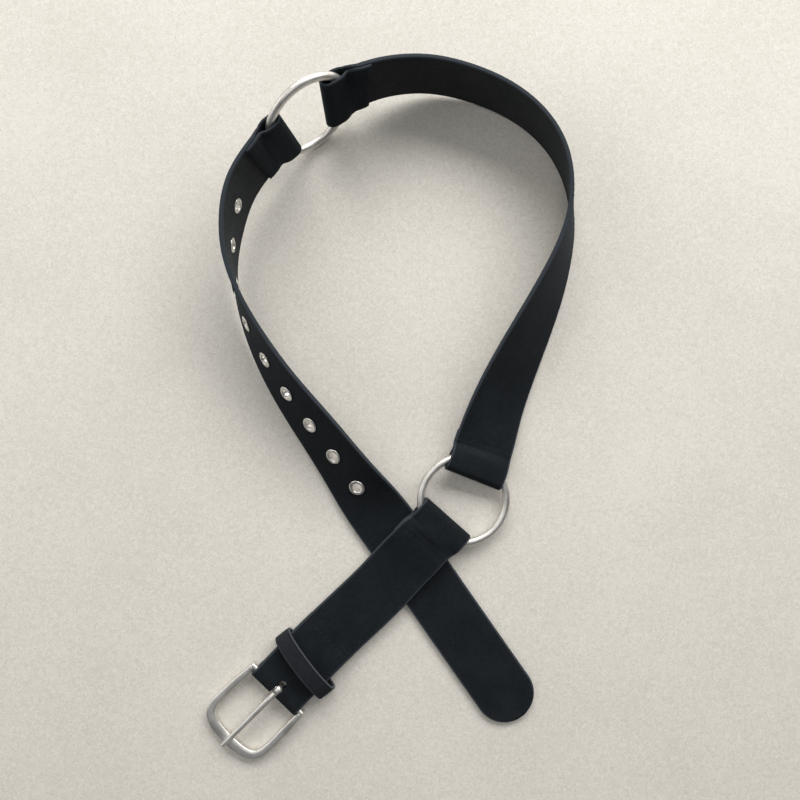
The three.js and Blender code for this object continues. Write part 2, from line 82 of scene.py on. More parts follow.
# The course of each strap's middle: at, distance along it; x, y, its place; foot, height of its
# lower edge; lean, degrees that it is turned up from flat
COURSE_COLUMNS = ("at", "x", "y", "foot", "lean")
LEAST_COSINE = 0.1
TIP_COURSE = [
    (0, 77.7, -203.3, 0, 0),
    (90, 27.1, -131.0, 0, 0),
    (112, 14.4, -112.7, 0, 0),
    (128, 5.2, -99.5, 0, 0.2),
    (142, -2.8, -88.0, 0, 1.2),
    (158, -12.1, -74.9, 0, 7),
    (183, -26.5, -54.9, 0, 26),
    (225, -51.1, -20.6, 0, 44),
    (262, -72.5, 9.2, 0.3, 56),
    (294, -88.5, 37.2, 2, 67),
    (318, -97.6, 59.1, 4, 76.5),
    (343, -103.1, 83.1, 6.2, 87),
    (367, -102.1, 106.9, 8.2, 96.5),
    (392, -95.4, 130.3, 9.4, 102),
    (415, -82.7, 149.0, 10.0, 104),
]
MIDDLE_COURSE = [
    (0, -24.6, 190.0, 10.6, 101),
    (20, -9.0, 196.0, 7.6, 99.5),
    (42, 13.0, 199.7, 3.8, 98.5),
    (66, 36.8, 197.1, 1.3, 97.5),
    (92, 61.8, 188.2, 0.3, 95.5),
    (119, 84.3, 172.8, 0, 91.5),
    (144, 99.3, 152.2, 0, 86),
    (173, 106.1, 123.6, 0, 77.5),
    (203, 102.7, 95.6, 0, 68),
    (232, 93.0, 67.7, 0, 55.5),
    (263, 80.3, 39.4, 0, 43),
    (297, 66.4, 8.6, 0.1, 29),
    (320, 58.7, -12.0, 1.6, 18),
    (331, 55.4, -22.4, 3.2, 11),
    (340, 52.7, -31.0, 4.2, 6.5),
]
BUCKLE_COURSE = [
    (0, 15.5, -89.0, 6.9, 6),
    (8, 10.1, -95.0, 6.8, 4),
    (20, 2.0, -103.9, 4.8, 1),
    (38, -10.0, -117.3, 3.4, 0),
    (62, -27.1, -134.1, 2.9, 0),
    (84, -43.2, -149.2, 3.5, 0),
    (102, -56.2, -161.8, 4.7, 0),
    (116, -66.0, -171.9, 4.7, 0),
    (124.6, -72.0, -178.1, 4.6, 0),
]

# The eyes: u, distance from the fold as a share of the reach; half, half the distance between the
# middles of the two layers; skin, thickness of the leather
RING_EYE = [
    (1.0, FLAP_DEPTH / 2, 2.8),
    (0.91, 1.75, 2.4),
    (0.8, 3.15, 1.9),
    (0.65, 3.9, 1.6),
    (0.46, 3.85, 1.6),
    (0.22, 3.7, 1.6),
    (0.07, 2.6, 1.6),
    (0, 0, 1.6),
]
BAR_EYE = [
    (1.0, FLAP_DEPTH / 2, 2.8),
    (0.8, 1.75, 2.4),
    (0.56, 2.8, 1.9),
    (0.27, 3.2, 1.8),
    (0.07, 2.1, 1.8),
    (0, 0, 1.8),
]

# Where each eye folds round a ring: angle in the ring's plane, distance from the ring's centre, and
# how far the fold's middle lies along the fold
FOLD_TIP_UPPER = (184.0, 14.8, 0.0)
FOLD_MIDDLE_UPPER = (-9.0, 12.0, 0.4)
FOLD_MIDDLE_LOWER = (-82.0, 14.6, 0.0)
FOLD_BUCKLE_LOWER = (78.0, 14.9, 0.0)


def unit(vectors):
    """Vectors divided by their lengths."""
    vectors = np.asarray(vectors, float)
    return vectors / np.linalg.norm(vectors, axis=-1, keepdims=True)


def natural_spline(at, values):
    """A natural cubic spline: its second derivatives solve one linear system, and it carries its
    end pieces on past the table."""
    at, values = np.asarray(at, float), np.asarray(values, float)
    n = len(at)
    gap = np.diff(at)
    rise = np.diff(values) / gap
    system = np.eye(n)
    rows = np.arange(1, n - 1)
    system[rows, rows - 1] = gap[:-1]
    system[rows, rows] = 2 * (gap[:-1] + gap[1:])
    system[rows, rows + 1] = gap[1:]
    right = np.zeros(n)
    right[1:-1] = 6 * np.diff(rise)
    bend = np.linalg.solve(system, right)

    def read(places):
        """The cubic between the two rows on either side of each place."""
        places = np.asarray(places, float)
        i = np.clip(np.searchsorted(at, places) - 1, 0, n - 2)
        b = (places - at[i]) / gap[i]
        a = 1 - b
        curve = ((a**3 - a) * bend[i] + (b**3 - b) * bend[i + 1]) * gap[i] ** 2 / 6
        return a * values[i] + b * values[i + 1] + curve

    return read


def course(rows):
    """A strap's course. The middle rises from its foot by half the width times the sine of the
    lean, and by half the skin times its cosine, kept off zero. across points to the raised edge,
    along is the direction of travel, and front their product."""
    columns = dict(zip(COURSE_COLUMNS, np.array(rows, float).T))
    x, y, foot, lean = (natural_spline(columns["at"], columns[name]) for name in COURSE_COLUMNS[1:])

    def turn(at):
        """The lean in radians, never below flat."""
        return np.radians(np.maximum(lean(at), 0))

    def middle(at):
        """The place of the strap's middle."""
        skin_rise = STRAP_SKIN / 2 * np.hypot(np.cos(turn(at)), LEAST_COSINE)
        rise = STRAP_WIDTH / 2 * np.sin(turn(at)) + skin_rise
        return np.stack([x(at), y(at), np.maximum(foot(at), 0) + rise], -1)

    def read(at):
        """The strap's middle and its three directions at each distance."""
        at = np.atleast_1d(np.asarray(at, float))
        along = unit(middle(at + 0.5) - middle(at - 0.5))
        inward = unit(np.stack([along[:, 1], -along[:, 0], 0 * at], -1))
        across = inward * np.cos(turn(at))[:, None] + np.array([0, 0, 1]) * np.sin(turn(at))[:, None]
        across = unit(across - along * np.sum(across * along, -1, keepdims=True))
        return dict(centre=middle(at), across=across, along=along, front=np.cross(across, along))

    return read


def through(points, count):
    """A centripetal Catmull-Rom curve through points, at count + 1 even steps of its parameter."""
    p = np.asarray(points, float)
    p = np.vstack([2 * p[0] - p[1], p, 2 * p[-1] - p[-2]])
    place = np.linspace(0, len(p) - 3, count + 1)
    i = np.minimum(place.astype(int), len(p) - 4)
    w = (place - i)[:, None]
    step = np.sqrt(np.linalg.norm(np.diff(p, axis=0), axis=1))[:, None]
    before, here, after = step[i], step[i + 1], step[i + 2]
    p0, p1, p2, p3 = p[i], p[i + 1], p[i + 2], p[i + 3]
    start = ((p1 - p0) / before - (p2 - p0) / (before + here) + (p2 - p1) / here) * here
    end = ((p2 - p1) / here - (p3 - p1) / (here + after) + (p3 - p2) / after) * here
    squared = 3 * (p2 - p1) - 2 * start - end
    cubed = 2 * (p1 - p2) + start + end
    return p1 + start * w + squared * w**2 + cubed * w**3


def ring_axes(ring, upright):
    """A ring's centre and its axes: along its level diameter, across it in its plane, and square to
    the plane."""
    heading, lean = math.radians(ring["heading"]), math.radians(ring["lean"])
    along = np.array([math.cos(heading), math.sin(heading), 0])
    outward = np.array([-along[1], along[0], 0])
    if upright:
        up = outward * math.sin(lean) + np.array([0, 0, math.cos(lean)])
    else:
        along = along * math.cos(lean) + np.array([0, 0, math.sin(lean)])
        up = outward
    return np.array(ring["place"], float), along, up, np.cross(along, up)


def ring_fold(ring, joint, fold):
    """Where an eye ends at a ring: its fold's middle, and the directions out of it, across it and
    out of its front."""
    place, along, up, axis = ring
    angle, distance, rise = math.radians(fold[0]), fold[1], fold[2]
    away = along * math.cos(angle) + up * math.sin(angle)
    across = np.cross(away, axis)
    across = across * np.sign(across @ joint["across"][0])
    return dict(
        tip=place + away * distance + across * rise,
        out=-away,
        across=across,
        front=axis * np.sign(axis @ joint["front"][0]),
    )


def stations(centre, across, width, skin, run, pinch=0.0):
    """One record for each place along a ribbon. run is the distance along the leather, and pinch is
    how far its two edges are drawn towards its back."""
    count = len(centre)
    return dict(
        centre=centre,
        across=across,
        pinch=np.broadcast_to(np.asarray(pinch, float), (count,)),
        width=np.broadcast_to(np.asarray(width, float), (count,)),
        skin=np.broadcast_to(np.asarray(skin, float), (count,)),
        run=np.broadcast_to(np.asarray(run, float), (count,)),
    )


def joined(*parts):
    """Several stretches of stations as one."""
    return {key: np.concatenate([part[key] for part in parts]) for key in parts[0]}


def backwards(part):
    """A stretch of stations in the other order."""
    return {key: value[::-1] for key, value in part.items()}


def trimmed(part, first, last):
    """A stretch of stations without some at its start and end."""
    return {key: value[first : len(value) - last] for key, value in part.items()}


# Round a ring the wire crosses an eye's edges nearer the fold than its middle. These shares of the
# eye's reach say up to where it is full in its middle and at its edges, and where its edges meet. The
# power sets how the pinch grows from the middle to the edges.
FULL_IN_MIDDLE = 0.65
FULL_AT_EDGE = 0.36
SHUT_AT_EDGE = 0.82
PINCH_POWER = 2.4


def pinched(u, half):
    """How much nearer its axis an eye is at its edges than in its middle: the edge has the half
    depth that the middle has at a share u drawn out between the shares above."""
    order = np.argsort(u)
    near = FULL_IN_MIDDLE * u / FULL_AT_EDGE
    past = np.clip((u - FULL_AT_EDGE) / (SHUT_AT_EDGE - FULL_AT_EDGE), 0, 1)
    far = FULL_IN_MIDDLE + (1 - FULL_IN_MIDDLE) * past
    at_edge = np.interp(np.where(u < FULL_AT_EDGE, near, far), u[order], half[order])
    return np.clip(half - at_edge, 0, None)


EYE_STEPS = 84


def eye(joint, way, fold, rows, at, round_wire=True):
    """An eye: out along the front layer, round the fold and back along the flap. Its middle line is
    half above and half below an axis that turns from the strap's direction to the ring's plane."""
    outline = np.array(rows, float)
    back = outline[-2::-1] * [1, -1, 1]
    back[:, 2] = np.minimum(back[:, 2], FLAP_SKIN)
    curve = through(np.vstack([outline, back]), EYE_STEPS)
    share = 1 - curve[:, :1]
    turned = np.clip(share / EYE_SETTLED, 0, 1)
    turned = turned * turned * (3 - 2 * turned)
    root = joint["centre"][0] + joint["front"][0] * STACK_AXIS
    reach = np.linalg.norm(root - fold["tip"])
    from_joint = root + joint["along"][0] * share * reach * way
    from_fold = fold["tip"] - fold["out"] * (1 - share) * reach
    front = unit(joint["front"][0] * (1 - turned) + fold["front"] * turned)
    across = unit(joint["across"][0] * (1 - turned) + fold["across"] * turned)
    centre = from_joint * (1 - turned) + from_fold * turned + front * curve[:, 1:2]
    length = np.concatenate([[0], np.cumsum(np.linalg.norm(np.diff(centre, axis=0), axis=1))])
    pinch = 0.0
    if round_wire:
        front_layer = np.arange(len(curve)) <= np.argmin(curve[:, 0])
        pinch = np.empty(len(curve))
        for layer in (front_layer, ~front_layer):
            pinch[layer] = pinched(curve[layer, 0], np.abs(curve[layer, 1]))
    return stations(centre, across, STRAP_WIDTH, curve[:, 2], at + way * length, pinch)


# About how far apart the stations of a body and of a flap are
BODY_STEP = 0.8
FLAP_STEP = 1.0


def body(path, start, end):
    """The strap's own stretch, from one distance along it to another."""
    at = np.linspace(start, end, int(abs(end - start) / BODY_STEP) + 2)
    read = path(at)
    return stations(read["centre"], read["across"], STRAP_WIDTH, STRAP_SKIN, at)


# A flap's run counts from here, so that a seam's place on the strap is never one on the flap
FLAP_RUN = 1000.0


def flap(path, start, end):
    """The flap behind the strap, pared evenly over its last stretch to a thinner cut end."""
    at = np.linspace(start, end, int(abs(end - start) / FLAP_STEP) + 2)
    read = path(at)
    full = np.clip(np.abs(end - at) / PARED_LENGTH, 0, 1)
    skin = FLAP_SKIN * (PARED_SHARE + (1 - PARED_SHARE) * full)
    lift = (FLAP_SKIN - skin) / 2
    centre = read["centre"] - read["front"] * (FLAP_DEPTH - lift)[:, None]
    return stations(centre, read["across"], STRAP_WIDTH, skin, at + FLAP_RUN)


# Steps of a strap's section, over each flat face and round each corner
FACE_STEPS = 22
CORNER_STEPS = 5


def leather_section():
    """A strap's section: two flat faces and four quarter circles, going round from the raised
    edge's front. Its columns are the multiples of the half width and corner radius across, those of
    the half thickness and corner radius to the front, and the rim and the back as masks."""
    turn = np.linspace(0, np.pi / 2, CORNER_STEPS + 1)
    sine, cosine = np.sin(turn), np.cos(turn)
    flat = np.linspace(1, -1, FACE_STEPS + 1)[1:-1]
    stretches = [
        (1, cosine - 1, 1, sine - 1, 1, 0),
        (flat, 0, 1, 0, 0, 0),
        (-1, 1 - sine, 1, cosine - 1, 1, 0),
        (-1, 1 - cosine, -1, 1 - sine, 1, 1),
        (-flat, 0, -1, 0, 0, 1),
        (1, sine - 1, -1, 1 - cosine, 1, 1),
    ]
    return np.concatenate([np.stack(np.broadcast_arrays(*stretch), -1) for stretch in stretches])


SECTION = leather_section()


def add_mesh(name, vertices, faces, material, masks=None):
    """Writes vertices in the layout's millimetres as a smooth mesh in metres, in the belt's frame."""
    mesh = bpy.data.meshes.new(name)
    moved = (np.asarray(vertices, float).reshape(-1, 3) - [CENTRE[0], CENTRE[1], 0]) / 1000
    mesh.from_pydata(moved.tolist(), [], faces if isinstance(faces, list) else faces.tolist())
    mesh.polygons.foreach_set("use_smooth", np.ones(len(mesh.polygons), bool))
    for key, values in (masks or {}).items():
        layer = mesh.attributes.new(key, "FLOAT", "POINT")
        layer.data.foreach_set("value", np.asarray(values, np.float32).ravel())
    mesh.materials.append(material)
    mesh.update()
    piece = bpy.data.objects.new(name, mesh)
    bpy.context.scene.collection.objects.link(piece)
    return piece


def grid_faces(rows, columns, wrap_rows=False):
    """Four-sided faces of a grid whose columns, and rows if asked, close on themselves."""
    i = np.arange(rows if wrap_rows else rows - 1)[:, None]
    j = np.arange(columns)[None, :]
    i2, j2 = (i + 1) % rows, (j + 1) % columns
    quads = np.stack([i * columns + j, i * columns + j2, i2 * columns + j2, i2 * columns + j], -1)
    return quads.reshape(-1, 4)


def cap(loop):
    """Four-sided faces across a closed section, from one half of it to the other."""
    n = len(loop)
    return [[loop[k], loop[k + 1], loop[n - 2 - k], loop[n - 1 - k]] for k in range(n // 2 - 1)]


def ribbon(name, part, material, closed=False, groove=0.16, line=STITCH_IN, seams=()):
    """A leather ribbon: the rounded section is carried along the stations, square to the path. It is
    pressed in, by a bell curve, along two stitch lines and along rows across its front at the
    distances in seams. A pinch draws its edges back by a power of the distance from the middle."""
    centre, across = part["centre"], part["across"]
    if closed:
        along = np.roll(centre, -1, 0) - np.roll(centre, 1, 0)
    else:
        head, tail = centre[1:2] - centre[:1], centre[-1:] - centre[-2:-1]
        along = np.vstack([head, centre[2:] - centre[:-2], tail])
    normal = unit(np.cross(across, along))
    half_width = part["width"][:, None] / 2
    half_skin = part["skin"][:, None] / 2
    corner = np.minimum(CORNER_ROUND, half_skin * CORNER_LIMIT)
    side, side_turn, face, face_turn, rim, back = SECTION.T
    u = side * half_width + side_turn * corner
    v = face * half_skin + face_turn * corner
    pressed = np.exp(-(((half_width - np.abs(u)) - line) / LINE_SPREAD) ** 2) * (1 - rim)
    for place in seams:
        bell = np.exp(-((part["run"][:, None] - place) / SEAM_SPREAD) ** 2)
        pressed = np.maximum(pressed, SEAM_PRESS * bell * (1 - rim) * (1 - back))
    drawn_back = part["pinch"][:, None] * np.abs(u / half_width) ** PINCH_POWER
    v = v - face * groove * pressed - drawn_back
    points = centre[:, None] + across[:, None] * u[..., None] + normal[:, None] * v[..., None]
    rows, columns = u.shape
    faces = grid_faces(rows, columns, wrap_rows=closed)[:, ::-1].tolist()
    if not closed:
        first = list(range(columns))
        last = [(rows - 1) * columns + k for k in range(columns)]
        faces += cap(first) + cap(last[::-1])
    masks = {"rim": np.broadcast_to(rim, u.shape), "back": np.broadcast_to(back, u.shape)}
    return add_mesh(name, points, faces, material, masks)


def outward(piece):
    """Turns a closed piece's faces out."""
    work = bmesh.new()
    work.from_mesh(piece.data)
    bmesh.ops.remove_doubles(work, verts=work.verts, dist=1e-7)
    bmesh.ops.recalc_face_normals(work, faces=work.faces)
    work.to_mesh(piece.data)
    work.free()
    piece.data.update()
    return piece


def swept(name, centre, side, up, half_side, half_up, power, material, sides=28, closed=False):
    """A rod: a rounded section carried along a line. The section is a superellipse, whose power sets
    how square it is. side and up are its directions, and half_side and half_up its half sizes."""
    angle = np.linspace(0, 2 * np.pi, sides, endpoint=False)
    rows = len(centre)
    reach = []
    for wave, way, half in ((np.cos(angle), side, half_side), (np.sin(angle), up, half_up)):
        squared = np.sign(wave) * np.abs(wave) ** (2 / power)
        sizes = np.broadcast_to(half, (rows,))[:, None] * squared
        reach.append(np.broadcast_to(way, centre.shape)[:, None] * sizes[..., None])
    faces = grid_faces(rows, sides, wrap_rows=closed).tolist()
    if not closed:
        last = (rows - 1) * sides
        faces += cap(list(range(sides - 1, -1, -1))) + cap([last + k for k in range(sides)])
    return outward(add_mesh(name, centre[:, None] + reach[0] + reach[1], faces, material))


def rounded_end(left, reach, least):
    """A rod's size near its end, as a share of its full size, where left is how far the end is: a
    quarter circle over the last reach, whose square is never less than least."""
    return np.sqrt(np.clip(1 - (1 - np.clip(left / reach, 0, 1)) ** 2, least, 1))


# Effects that several materials share
def group(name, inputs, outputs):
    """An empty node group with named inputs and outputs."""
    tree = bpy.data.node_groups.new(name, "ShaderNodeTree")
    for label, kind, value in inputs:
        socket = tree.interface.new_socket(label, in_out="INPUT", socket_type="NodeSocket" + kind)
        if value is not None:
            socket.default_value = value
    for label, kind in outputs:
        tree.interface.new_socket(label, in_out="OUTPUT", socket_type="NodeSocket" + kind)
    return tree, tree.nodes.new("NodeGroupInput"), tree.nodes.new("NodeGroupOutput")


def node(tree, kind, links=None, **settings):
    """A shader node with its settings and its incoming links, each from a socket or a number."""
    made = tree.nodes.new("ShaderNode" + kind)
    for key, value in settings.items():
        setattr(made, key, value)
    for key, value in (links or {}).items():
        socket = made.inputs[key]
        if isinstance(value, bpy.types.NodeSocket):
            tree.links.new(value, socket)
        else:
            socket.default_value = value
    return made


def ramp(tree, factor, low, high, dark=0.0, light=1.0):
    """A smooth step of a value from low to high, put out as dark to light."""
    return node(
        tree,
        "MapRange",
        {"Value": factor, "From Min": low, "From Max": high, "To Min": dark, "To Max": light},
        interpolation_type="SMOOTHSTEP",
    ).outputs["Result"]


def noise(tree, place, scale, **settings):
    """A cloudy value between 0 and 1, by place."""
    links = {"Vector": place, "Scale": scale}
    links.update({key.title(): value for key, value in settings.items()})
    return node(tree, "TexNoise", links).outputs["Fac"]


def weighted(tree, value, weight, rest=0.0):
    """A value times a weight, plus the rest."""
    return node(tree, "Math", {0: value, 1: weight, 2: rest}, operation="MULTIPLY_ADD").outputs[0]


def nap_group():
    """Nubuck: short fibres in two sizes, brushed patches and a few specks of dust."""
    tree, given, out = group(
        "nubuck nap",
        [("Fibre Size", "Float", 1400.0), ("Patch Size", "Float", 55.0), ("Speck Amount", "Float", 0.5)],
        [("Shade", "Float"), ("Speck", "Float"), ("Height", "Float")],
    )
    place = node(tree, "TexCoord").outputs["Object"]
    fibre = noise(tree, place, given.outputs["Fibre Size"], detail=3.0)
    coarse = noise(tree, place, 420.0, detail=4.0, roughness=0.65)
    patch = noise(tree, place, given.outputs["Patch Size"], detail=3.0, distortion=0.8)
    grain = weighted(tree, coarse, 0.55, weighted(tree, fibre, 0.45))
    specks = node(tree, "TexVoronoi", {"Vector": place, "Scale": 210.0, "Randomness": 1.0})
    dot = ramp(tree, specks.outputs["Distance"], 0.02, 0.075, 1.0, 0.0)
    few = ramp(tree, noise(tree, place, 130.0, detail=1.0), 0.62, 0.68)
    speck = weighted(tree, weighted(tree, dot, few), given.outputs["Speck Amount"])
    tree.links.new(weighted(tree, patch, 0.5, grain), out.inputs["Shade"])
    tree.links.new(speck, out.inputs["Speck"])
    tree.links.new(grain, out.inputs["Height"])
    return tree


def wear_group():
    """Satin metal: fine brushing across the wire, faint cloudiness and small rubs."""
    tree, given, out = group(
        "satin wear",
        [("Brush Size", "Float", 900.0), ("Cloud Size", "Float", 90.0)],
        [("Shade", "Float"), ("Rough", "Float"), ("Height", "Float")],
    )
    place = node(tree, "TexCoord").outputs["Object"]
    brush = noise(tree, place, given.outputs["Brush Size"], detail=4.0, roughness=0.7)
    cloud = noise(tree, place, given.outputs["Cloud Size"], detail=3.0)
    tree.links.new(cloud, out.inputs["Shade"])
    tree.links.new(weighted(tree, brush, 0.5, cloud), out.inputs["Rough"])
    tree.links.new(brush, out.inputs["Height"])
    return tree


NAP = nap_group()
WEAR = wear_group()


def material(name):
    """A new material, its nodes and its Principled shader."""
    made = bpy.data.materials.new(name)
    made.use_nodes = True
    tree = made.node_tree
    return made, tree, tree.nodes["Principled BSDF"]


def placed(tree, shared, **values):
    """A shared effect in a material, with its own values."""
    made = tree.nodes.new("ShaderNodeGroup")
    made.node_tree = shared
    for key, value in values.items():
        made.inputs[key.replace("_", " ")].default_value = value
    return made


def mixed(tree, factor, first, second):
    """The first colour turning into the second by a factor."""
    made = node(tree, "Mix", data_type="RGBA")
    for key, value in (("Factor", factor), ("A", first), ("B", second)):
        socket = [s for s in made.inputs if s.name == key and s.enabled][0]
        if isinstance(value, bpy.types.NodeSocket):
            tree.links.new(value, socket)
        else:
            socket.default_value = value
    return [s for s in made.outputs if s.enabled][0]


# The flesh side's colours, and that of dust
BACK_DARK = (0.014, 0.016, 0.0155, 1)
BACK_LIGHT = (0.029, 0.032, 0.031, 1)
DUST = (0.24, 0.25, 0.26, 1)


def nubuck(name, dark, light, edge, fibre_size, speck_amount):
    """Napped leather: a front and a plainer back by the back mask, cut edges by the rim mask."""
    made, tree, shader = material(name)
    nap = placed(tree, NAP, Fibre_Size=fibre_size, Speck_Amount=speck_amount)
    rim = node(tree, "Attribute", attribute_name="rim").outputs["Fac"]
    back = node(tree, "Attribute", attribute_name="back").outputs["Fac"]
    shade = ramp(tree, nap.outputs["Shade"], 0.45, 1.0)
    front_colour = mixed(tree, shade, dark, light)
    back_colour = mixed(tree, shade, BACK_DARK, BACK_LIGHT)
    face = mixed(tree, back, front_colour, back_colour)
    dusty = mixed(tree, nap.outputs["Speck"], face, DUST)
    edged = mixed(tree, ramp(tree, rim, 0.35, 0.95), dusty, edge)
    tree.links.new(edged, shader.inputs["Base Color"])
    bump = node(tree, "Bump", {"Height": nap.outputs["Height"], "Strength": 0.55, "Distance": 0.00025})
    tree.links.new(bump.outputs["Normal"], shader.inputs["Normal"])
    shader.inputs["Roughness"].default_value = 0.88
    shader.inputs["Specular IOR Level"].default_value = 0.12
    shader.inputs["Sheen Weight"].default_value = 0.06
    shader.inputs["Sheen Roughness"].default_value = 0.5
    shader.inputs["Sheen Tint"].default_value = (0.6, 0.68, 0.78, 1)
    return made


def satin(name, dark, light, low_rough, high_rough, brush_size, cloud_size):
    """Satin metal: its colour and gloss vary with the wear, and the brushing stands out a little."""
    made, tree, shader = material(name)
    wear = placed(tree, WEAR, Brush_Size=brush_size, Cloud_Size=cloud_size)
    colour = mixed(tree, ramp(tree, wear.outputs["Shade"], 0.3, 0.7), dark, light)
    tree.links.new(colour, shader.inputs["Base Color"])
    rough = ramp(tree, wear.outputs["Rough"], 0.4, 1.1, low_rough, high_rough)
    tree.links.new(rough, shader.inputs["Roughness"])
    bump = node(tree, "Bump", {"Height": wear.outputs["Height"], "Strength": 0.08, "Distance": 0.0001})
    tree.links.new(bump.outputs["Normal"], shader.inputs["Normal"])
    shader.inputs["Metallic"].default_value = 1.0
    return made


def waxed_thread():
    """Black waxed thread, with a fine twist."""
    made, tree, shader = material("black waxed thread")
    place = node(tree, "TexCoord").outputs["Object"]
    twist = node(tree, "TexWave", {"Vector": place, "Scale": 900.0, "Distortion": 1.0})
    colour = mixed(tree, twist.outputs["Fac"], (0.006, 0.007, 0.008, 1), (0.022, 0.025, 0.029, 1))
    tree.links.new(colour, shader.inputs["Base Color"])
    shader.inputs["Roughness"].default_value = 0.7
    shader.inputs["Specular IOR Level"].default_value = 0.2
    return made


STRAP_NUBUCK = nubuck(
    "strap nubuck",
    dark=(0.0055, 0.0075, 0.009, 1),
    light=(0.0125, 0.0155, 0.0185, 1),
    edge=(0.036, 0.043, 0.052, 1),
    fibre_size=1400.0,
    speck_amount=0.5,
)
KEEPER_NUBUCK = nubuck(
    "keeper nubuck",
    dark=(0.009, 0.010, 0.012, 1),
    light=(0.0195, 0.021, 0.025, 1),
    edge=(0.060, 0.067, 0.078, 1),
    fibre_size=1700.0,
    speck_amount=0.3,
)
SATIN_NICKEL = satin(
    "satin nickel",
    dark=(0.70, 0.68, 0.64, 1),
    light=(0.82, 0.80, 0.765, 1),
    low_rough=0.36,
    high_rough=0.52,
    brush_size=900.0,
    cloud_size=90.0,
)
EYELET_NICKEL = satin(
    "eyelet nickel",
    dark=(0.72, 0.70, 0.66, 1),
    light=(0.86, 0.84, 0.80, 1),
    low_rough=0.26,
    high_rough=0.42,
    brush_size=1500.0,
    cloud_size=200.0,
)
THREAD = waxed_thread()

# The rings' axes and the straps' courses
upper_ring = ring_axes(UPPER_RING, True)
lower_ring = ring_axes(LOWER_RING, False)
tip_path = course(TIP_COURSE)
middle_path = course(MIDDLE_COURSE)
buckle_path = course(BUCKLE_COURSE)
TIP_LENGTH = TIP_COURSE[-1][0]
MIDDLE_LENGTH = MIDDLE_COURSE[-1][0]
BUCKLE_LENGTH = BUCKLE_COURSE[-1][0]


# The arc of the free end, in degrees from its very tip, and its number of stations
TIP_ARC_FROM = 7
TIP_ARC_TO = 88
TIP_ARC_STEPS = 26


def tip_strap():
    """The strap with the free end: a half round end, the body, an eye and a flap."""
    angle = np.radians(np.linspace(TIP_ARC_FROM, TIP_ARC_TO, TIP_ARC_STEPS))
    at = STRAP_WIDTH / 2 * (1 - np.cos(angle))
    read = tip_path(at)
    end = stations(read["centre"], read["across"], STRAP_WIDTH * np.sin(angle), STRAP_SKIN, at)
    joint = tip_path(TIP_LENGTH)
    loop = eye(joint, 1, ring_fold(upper_ring, joint, FOLD_TIP_UPPER), RING_EYE, TIP_LENGTH)
    return joined(
        end,
        trimmed(body(tip_path, STRAP_WIDTH / 2, TIP_LENGTH), 0, 1),
        loop,
        trimmed(flap(tip_path, TIP_LENGTH, TIP_LENGTH - RING_FLAP), 1, 0),
    )


def middle_strap():
    """The strap between the rings: a flap and an eye, the body, an eye and a flap."""
    first, last = middle_path(0), middle_path(MIDDLE_LENGTH)
    start = eye(first, -1, ring_fold(upper_ring, first, FOLD_MIDDLE_UPPER), RING_EYE, 0)
    end = eye(last, 1, ring_fold(lower_ring, last, FOLD_MIDDLE_LOWER), RING_EYE, MIDDLE_LENGTH)
    return joined(
        backwards(trimmed(flap(middle_path, 0, RING_FLAP), 1, 0)),
        backwards(start),
        trimmed(body(middle_path, 0, MIDDLE_LENGTH), 1, 1),
        end,
        trimmed(flap(middle_path, MIDDLE_LENGTH, MIDDLE_LENGTH - RING_FLAP), 1, 0),
    )


# The strap's frame where the bar's eye starts, its directions and the heel bar's middle
bar_joint = buckle_path(BUCKLE_LENGTH)
bar_across, bar_along, bar_front = (bar_joint[key][0] for key in ("across", "along", "front"))
BAR_FROM_JOINT = BAR_EYE_REACH - BAR_FROM_FOLD
bar_centre = bar_joint["centre"][0] + bar_front * STACK_AXIS + bar_along * BAR_FROM_JOINT


def buckle_strap():
    """The buckle's strap: a flap and an eye, the body, an eye round the bar and a long flap."""
    first = buckle_path(0)
    start = eye(first, -1, ring_fold(lower_ring, first, FOLD_BUCKLE_LOWER), RING_EYE, 0)
    tip = bar_centre + bar_along * BAR_FROM_FOLD
    fold = dict(tip=tip, out=bar_along, across=bar_across, front=bar_front)
    end = eye(bar_joint, 1, fold, BAR_EYE, BUCKLE_LENGTH, round_wire=False)
    return joined(
        backwards(trimmed(flap(buckle_path, 0, RING_FLAP), 1, 0)),
        backwards(start),
        trimmed(body(buckle_path, 0, BUCKLE_LENGTH), 1, 1),
        end,
        trimmed(flap(buckle_path, BUCKLE_LENGTH, BUCKLE_LENGTH - BUCKLE_FLAP), 1, 0),
    )


def cut(piece, cutters):
    """Cuts closed cutters out of a piece and applies the cut, keeping the masks."""
    for cutter in cutters:
        modifier = piece.modifiers.new("cut", "BOOLEAN")
        modifier.operation = "DIFFERENCE"
        modifier.solver = "EXACT"
        modifier.object = cutter
    depsgraph = bpy.context.evaluated_depsgraph_get()
    done = bpy.data.meshes.new_from_object(piece.evaluated_get(depsgraph))
    piece.modifiers.clear()
    piece.data = done
    for cutter in cutters:
        bpy.data.objects.remove(cutter)
    return piece


TURNED_STEPS = 40


def turned(name, profile, centre, axis, side, material):
    """A turned piece: a closed profile of (radius, height) carried round an axis."""
    angle = np.linspace(0, 2 * np.pi, TURNED_STEPS, endpoint=False)
    third = np.cross(axis, side)
    radial = np.cos(angle)[:, None] * side + np.sin(angle)[:, None] * third
    profile = np.asarray(profile, float)
    points = centre + radial[:, None] * profile[None, :, :1] + axis * profile[None, :, 1:]
    faces = grid_faces(TURNED_STEPS, len(profile), wrap_rows=True)
    return outward(add_mesh(name, points, faces, material))


def eyelet_place(i):
    """An eyelet's middle in the strap, and the directions out of its front and along the strap."""
    read = tip_path(EYELET_FIRST + i * EYELET_PITCH)
    return read["centre"][0], read["front"][0], read["along"][0]


